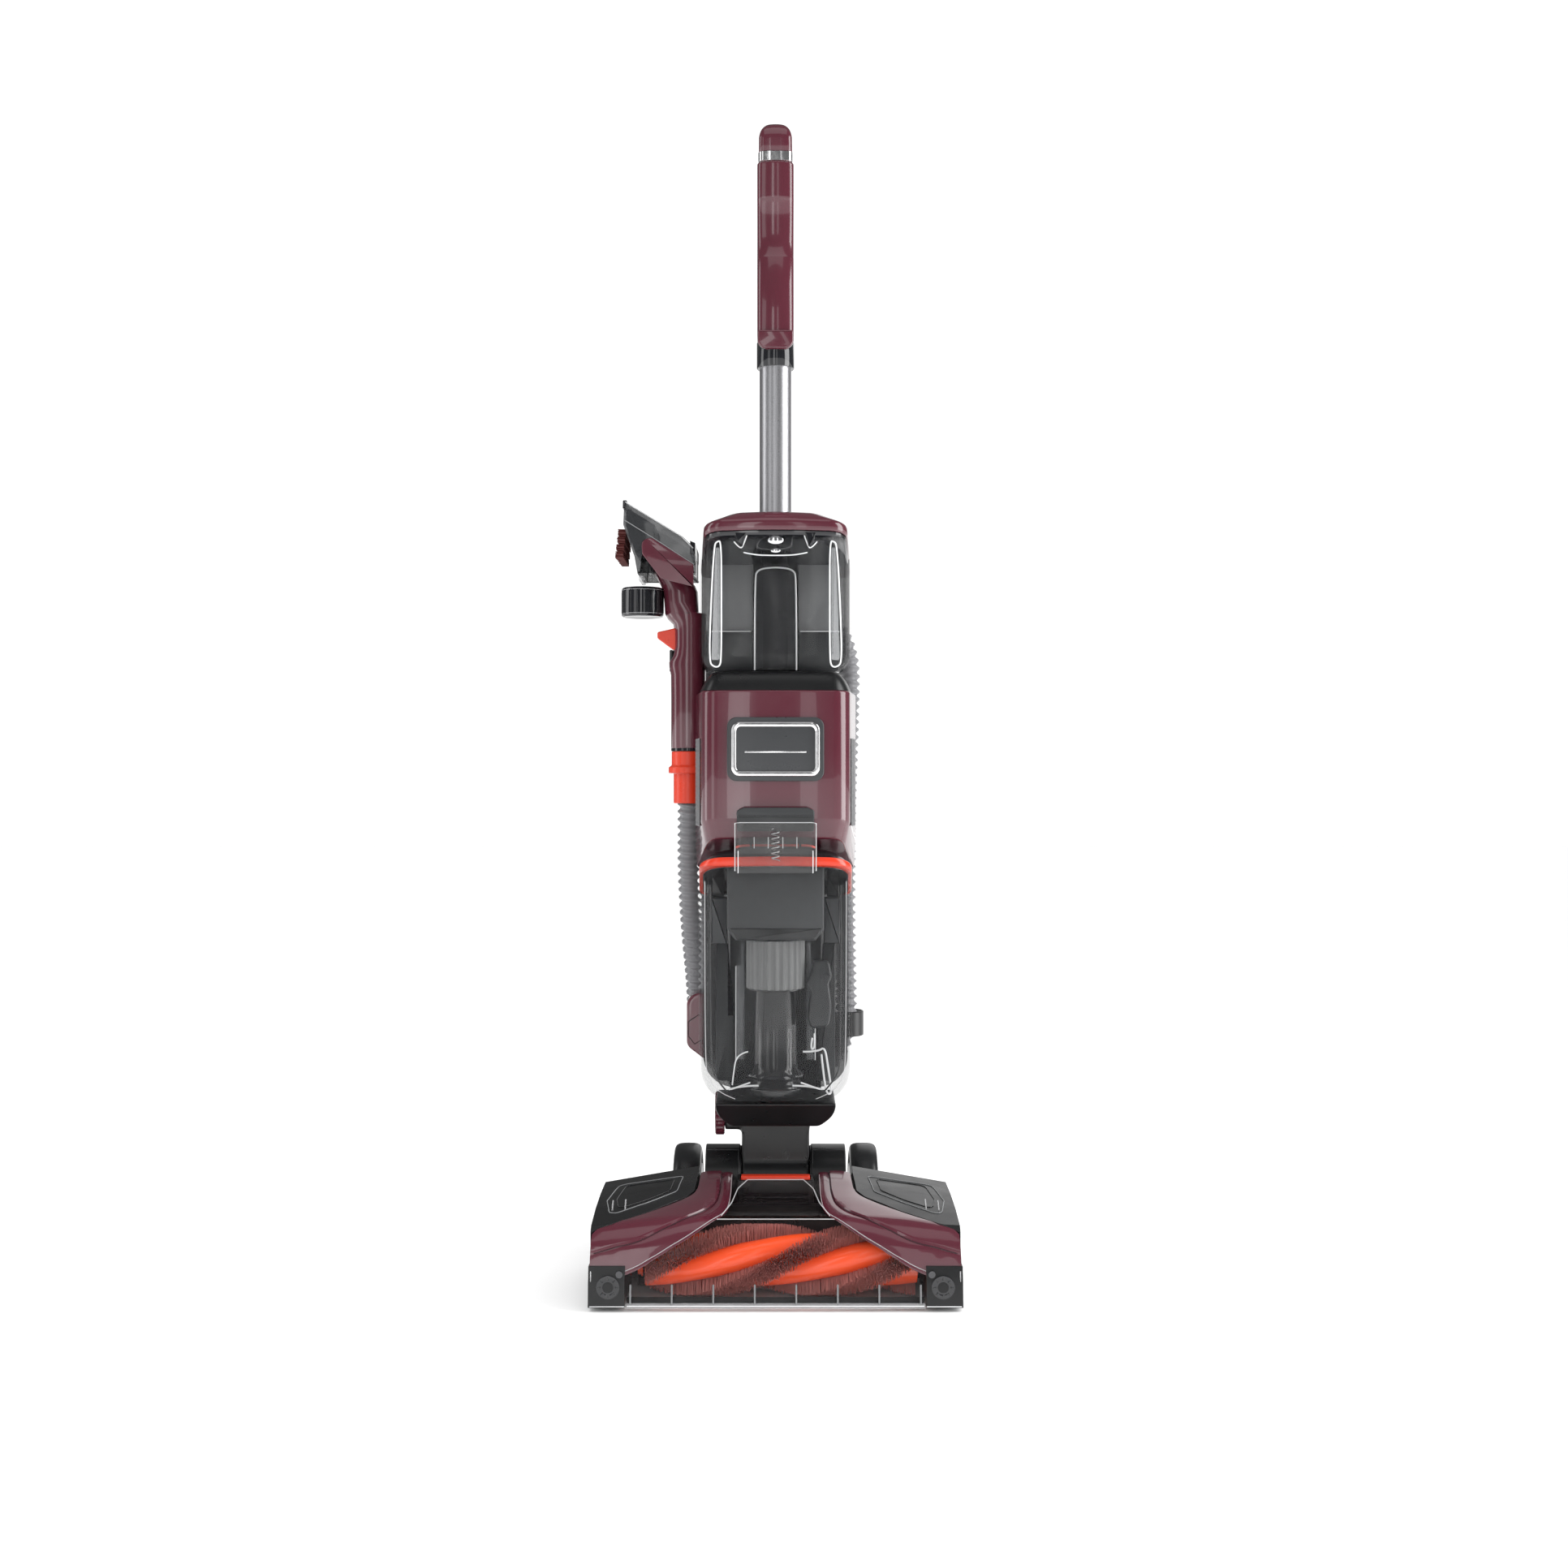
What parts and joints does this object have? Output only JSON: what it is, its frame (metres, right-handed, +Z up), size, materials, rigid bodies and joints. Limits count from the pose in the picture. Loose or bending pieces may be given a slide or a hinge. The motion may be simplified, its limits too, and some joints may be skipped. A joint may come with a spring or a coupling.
{
  "type": "upright carpet cleaner",
  "caption": "Upright carpet washer: wheeled foot with driven brush, reclining body with dirty and clean tanks, hose, hand tool and loop handle.",
  "frame": {"origin": "on the floor under the middle of the machine", "axes": "+Z up, the front faces -Y, +X is on the right seen from the front"},
  "size_m": [0.338, 0.2999, 1.139],
  "materials": {
    "maroon_gloss": "moulded, glossy with a faint metallic flake",
    "smoke_clear": "clear moulded plastic with a smoke tint",
    "black_plastic": "fine moulded texture",
    "dark_grey": "satin",
    "orange": "moulded, satin gloss",
    "chrome": "bright",
    "silver_paint": "metallic silver with fine flake",
    "steel": "plain",
    "wheel_tread": "satin",
    "soft_rubber": "matte",
    "bristle": "stiff nylon tufts",
    "hose_grey": "corrugated, slightly see-through"
  },
  "bodies": {
    "foot": {"chassis_base": "black_plastic", "yokes": "black_plastic", "axle_pins": "steel", "deck_cover": "black_plastic", "end_caps": "black_plastic", "end_cap_screws": "steel", "brush_motor": "steel", "drive_belt": "soft_rubber", "squeegee": "soft_rubber"},
    "hood": {"hood_window": "smoke_clear", "hood_wings": "maroon_gloss", "hood_frame": "black_plastic", "spray_bar": "black_plastic"},
    "hood_release": {"hood_release_bar": "orange"},
    "wheel_l": {"wheel_left": "wheel_tread"},
    "wheel_r": {"wheel_right": "wheel_tread"},
    "brush": {"brush_core": "orange", "brush_bristles": "bristle"},
    "drive": {"motor_pulley": "black_plastic"},
    "upright": {"neck": "black_plastic", "spine": "black_plastic", "motor_housing": "maroon_gloss", "side_vents": "black_plastic", "badge_plate": "dark_grey", "badge_frame": "chrome", "bevel_ring": "black_plastic", "suction_motor": "steel", "spray_pump": "black_plastic", "top_hood": "maroon_gloss", "hose_port": "maroon_gloss", "clips": "black_plastic", "handle_tube": "silver_paint", "tube_collar": "black_plastic", "handle_body": "maroon_gloss", "handle_band": "chrome", "handle_cap": "maroon_gloss", "hose": "hose_grey", "tool_coupling": "orange"},
    "fan": {"suction_fan": "black_plastic"},
    "dial": {"mode_dial": "maroon_gloss"},
    "trigger": {"spray_trigger": "black_plastic"},
    "rocker": {"power_rocker": "black_plastic"},
    "hook": {"cord_hook": "black_plastic"},
    "lower_tank": {"dirty_tank": "smoke_clear", "tank_gasket": "orange", "tank_lid": "black_plastic", "separator": "dark_grey", "standpipe": "black_plastic", "latch_bracket": "smoke_clear", "latch_spring": "steel"},
    "latch": {"latch_button": "black_plastic"},
    "buoy": {"float": "black_plastic"},
    "upper_tank": {"clean_tank": "smoke_clear", "tank_clips": "black_plastic"},
    "tank_button": {"tank_release_button": "chrome"},
    "tool": {"tool_grip": "maroon_gloss", "tool_head": "smoke_clear", "tool_brush": "bristle", "tool_cap": "black_plastic"},
    "tool_lever": {"tool_trigger": "orange"}
  },
  "joints": [
    {"name": "recline", "type": "hinge", "parent": "foot", "child": "upright", "pos_m": [0, 0.035, 0.08], "axis": [-1, 0, 0], "range_deg": [0, 60]},
    {"name": "wheel_left_spin", "type": "hinge", "parent": "foot", "child": "wheel_l", "pos_m": [-0.09, 0.099, 0.051], "axis": [1, 0, 0], "continuous": true},
    {"name": "wheel_right_spin", "type": "hinge", "parent": "foot", "child": "wheel_r", "pos_m": [0.09, 0.099, 0.051], "axis": [1, 0, 0], "continuous": true},
    {"name": "brush_spin", "type": "hinge", "parent": "foot", "child": "brush", "pos_m": [0, -0.105, 0.036], "axis": [1, 0, 0], "continuous": true},
    {"name": "pulley_spin", "type": "hinge", "parent": "foot", "child": "drive", "pos_m": [-0.13, -0.035, 0.0472], "axis": [1, 0, 0], "continuous": true},
    {"name": "hood_slide", "type": "slide", "parent": "foot", "child": "hood", "axis": [0, -0.94, 0.3412], "range_m": [0, 0.12]},
    {"name": "hood_release_press", "type": "slide", "parent": "hood", "child": "hood_release", "axis": [0, 0, -1], "range_m": [0, 0.0025], "stiffness_N_per_m": 300},
    {"name": "fan_spin", "type": "hinge", "parent": "upright", "child": "fan", "pos_m": [0, -0.032, 0.53], "axis": [0, 0, 1], "continuous": true},
    {"name": "mode_dial_turn", "type": "hinge", "parent": "upright", "child": "dial", "pos_m": [-0.055, 0.03, 0.1465], "axis": [1, 0, 0], "range_deg": [0, 90]},
    {"name": "spray_trigger_pull", "type": "hinge", "parent": "upright", "child": "trigger", "pos_m": [0, 0.1095, 1.056], "axis": [1, 0, 0], "range_deg": [0, 4], "stiffness_Nm_per_rad": 2},
    {"name": "power_rocker_tilt", "type": "hinge", "parent": "upright", "child": "rocker", "pos_m": [0, 0.057, 0.565], "axis": [1, 0, 0], "range_deg": [0, 10]},
    {"name": "cord_hook_turn", "type": "hinge", "parent": "upright", "child": "hook", "pos_m": [0, 0.06, 0.47], "axis": [0, 1, 0], "range_deg": [0, 180]},
    {"name": "dirty_tank_slide", "type": "slide", "parent": "upright", "child": "lower_tank", "axis": [0, -1, 0], "range_m": [0, 0.17]},
    {"name": "latch_press", "type": "slide", "parent": "lower_tank", "child": "latch", "axis": [0, 0, -1], "range_m": [0, 0.0045], "stiffness_N_per_m": 800, "deforming": ["latch_spring"]},
    {"name": "float_rise", "type": "slide", "parent": "lower_tank", "child": "buoy", "axis": [0, 0, 1], "range_m": [0, 0.02]},
    {"name": "clean_tank_slide", "type": "slide", "parent": "upright", "child": "upper_tank", "axis": [0, -1, 0], "range_m": [0, 0.17]},
    {"name": "tank_button_press", "type": "slide", "parent": "upper_tank", "child": "tank_button", "axis": [0, 1, 0], "range_m": [0, 0.002], "stiffness_N_per_m": 300},
    {"name": "tool_lift", "type": "slide", "parent": "upright", "child": "tool", "axis": [0, 0, 1], "range_m": [0, 0.04]},
    {"name": "tool_trigger_pull", "type": "hinge", "parent": "tool", "child": "tool_lever", "pos_m": [-0.099, 0.032, 0.63], "axis": [0, -1, 0], "range_deg": [0, 12], "stiffness_Nm_per_rad": 0.3}
  ],
  "couplings": [
    {"joint": "pulley_spin", "follows": "brush_spin", "ratio": 1.6875}
  ]
}
